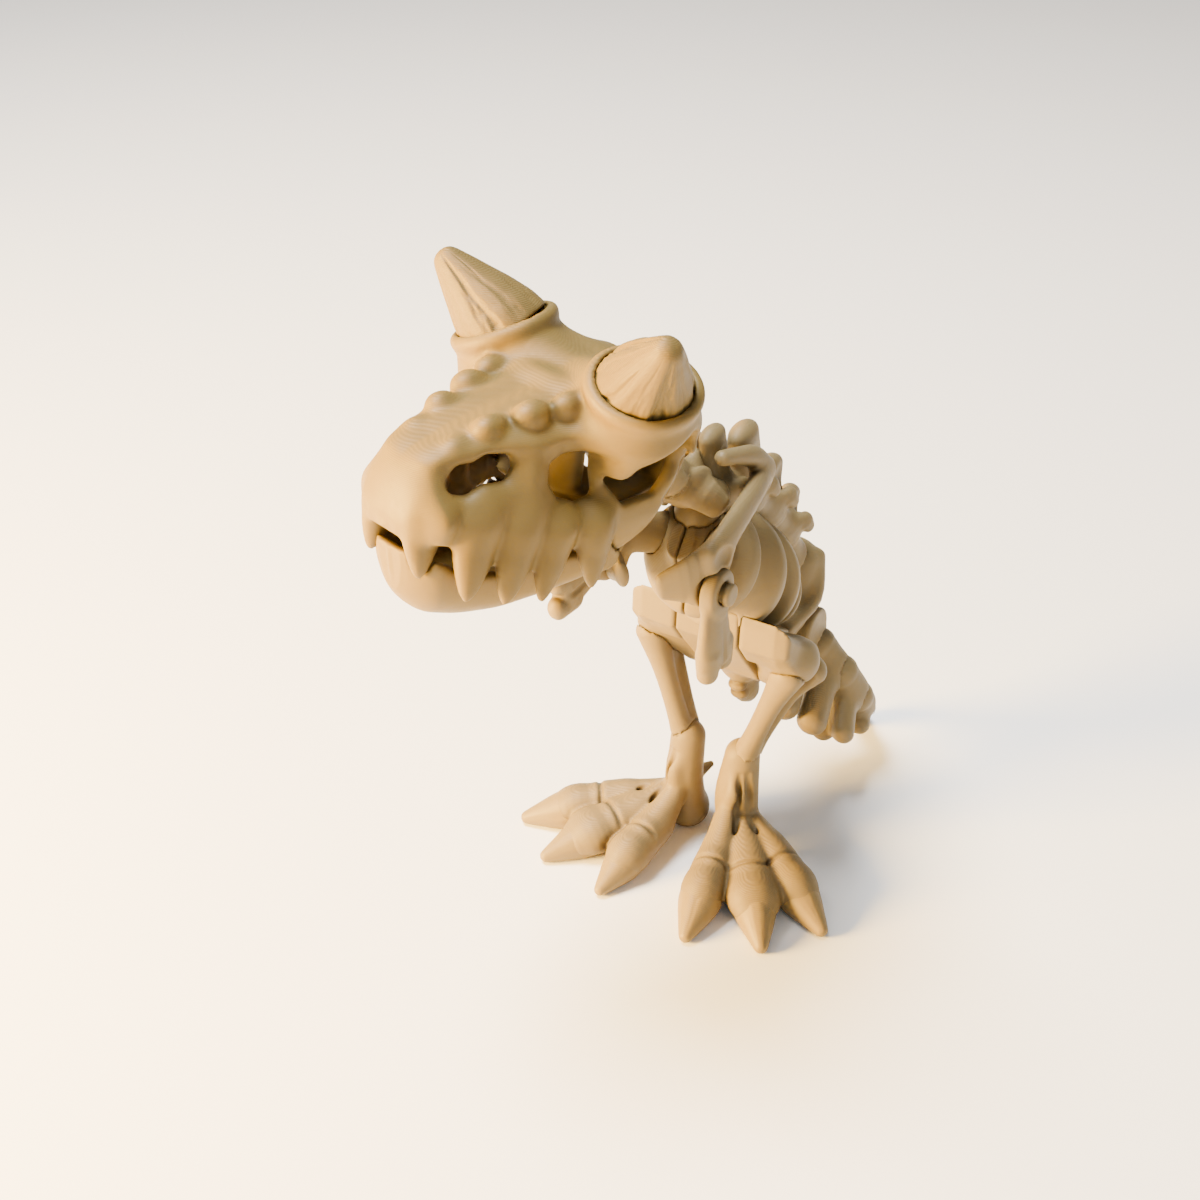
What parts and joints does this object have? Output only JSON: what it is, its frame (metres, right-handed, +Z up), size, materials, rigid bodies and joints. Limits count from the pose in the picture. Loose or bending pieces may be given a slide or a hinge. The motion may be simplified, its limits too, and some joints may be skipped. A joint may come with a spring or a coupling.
{
  "type": "toy dinosaur skeleton",
  "caption": "Small printed toy skeleton of a two-legged horned dinosaur, standing, with a big open skull, turning neck, swinging arms and a hinged tail.",
  "frame": {"origin": "under the middle of the figure's box, on the floor it stands on", "axes": "+Z up, -Y the way the body faces, +X to the figure's left"},
  "size_m": [0.0706, 0.1313, 0.1323],
  "materials": {
    "printed_bone": "matte, fine layer lines",
    "horn": "matte, fine layer lines",
    "claw_foot": "matte, fine layer lines"
  },
  "bodies": {
    "body": {"backbone": "printed_bone", "ribcage_left": "printed_bone", "ribcage_right": "printed_bone", "pelvis": "printed_bone", "neck_top": "printed_bone", "neck_middle": "printed_bone", "neck_low": "printed_bone", "shoulder_left": "printed_bone", "shoulder_right": "printed_bone", "thigh_left": "printed_bone", "thigh_right": "printed_bone", "shin_left": "printed_bone", "shin_right": "printed_bone", "foot_left": "claw_foot", "foot_right": "claw_foot"},
    "head": {"skull": "printed_bone", "jaw": "printed_bone", "horn_left": "horn", "horn_right": "horn"},
    "arm_l": {"arm_left": "printed_bone"},
    "arm_r": {"arm_right": "printed_bone"},
    "tail": {"tail_1": "printed_bone", "tail_2": "printed_bone", "tail_3": "printed_bone", "tail_4": "printed_bone", "tail_5": "printed_bone"}
  },
  "joints": [
    {"name": "neck_turn", "type": "hinge", "parent": "body", "child": "head", "pos_m": [-0.0069, -0.0252, 0.10755], "axis": [0, 0, 1], "range_deg": [-15, 15]},
    {"name": "arm_left_swing", "type": "hinge", "parent": "body", "child": "arm_l", "pos_m": [0.01255, -0.0144, 0.0766], "axis": [1, 0, 0], "range_deg": [-75, 12]},
    {"name": "arm_right_swing", "type": "hinge", "parent": "body", "child": "arm_r", "pos_m": [-0.00965, -0.0144, 0.0766], "axis": [1, 0, 0], "range_deg": [-11, 67]},
    {"name": "tail_lift", "type": "hinge", "parent": "body", "child": "tail", "pos_m": [0.00305, 0.0402, 0.037], "axis": [1, 0, 0], "range_deg": [0, 30]}
  ]
}
